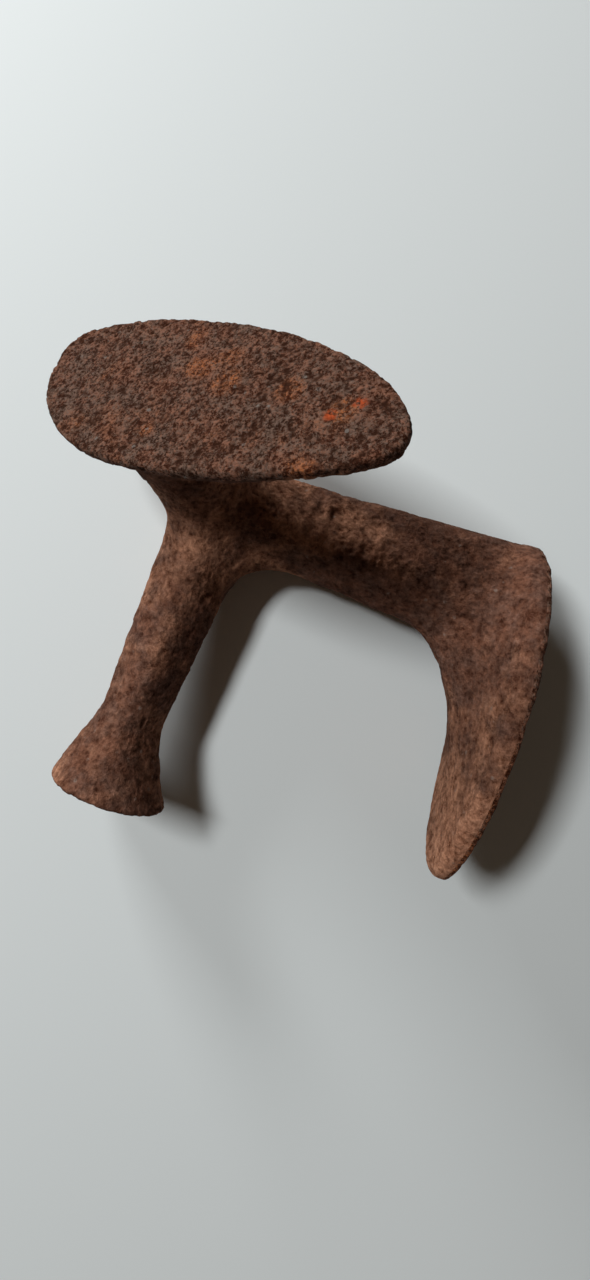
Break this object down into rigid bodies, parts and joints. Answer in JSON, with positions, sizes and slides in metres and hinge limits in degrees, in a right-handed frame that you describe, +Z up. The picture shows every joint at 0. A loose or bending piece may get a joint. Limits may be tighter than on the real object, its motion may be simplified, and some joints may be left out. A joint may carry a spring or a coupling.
{
  "type": "cobbler anvil",
  "caption": "Cast-iron cobbler's anvil: legs run from a hub to a large sole, a small sole and a round heel, and a shoe is pulled over the face that is up.",
  "frame": {"origin": "middle of the footprint, on the surface that the part lies on", "axes": "+Z up, +X from the heel leg towards the small leg's sole, +Y from the heel foot towards the large sole"},
  "size_m": [0.222, 0.2308, 0.1333],
  "materials": {
    "rusted_iron": "heavily rusted, pitted casting skin",
    "rusted_sole": "heavily rusted, coarsely pitted working face with orange spots"
  },
  "bodies": {
    "root": {"hub": "rusted_iron", "large_leg": "rusted_iron", "large_sole": "rusted_sole", "small_leg": "rusted_iron", "small_sole": "rusted_sole", "heel_leg": "rusted_iron", "heel_foot": "rusted_iron"}
  },
  "joints": []
}
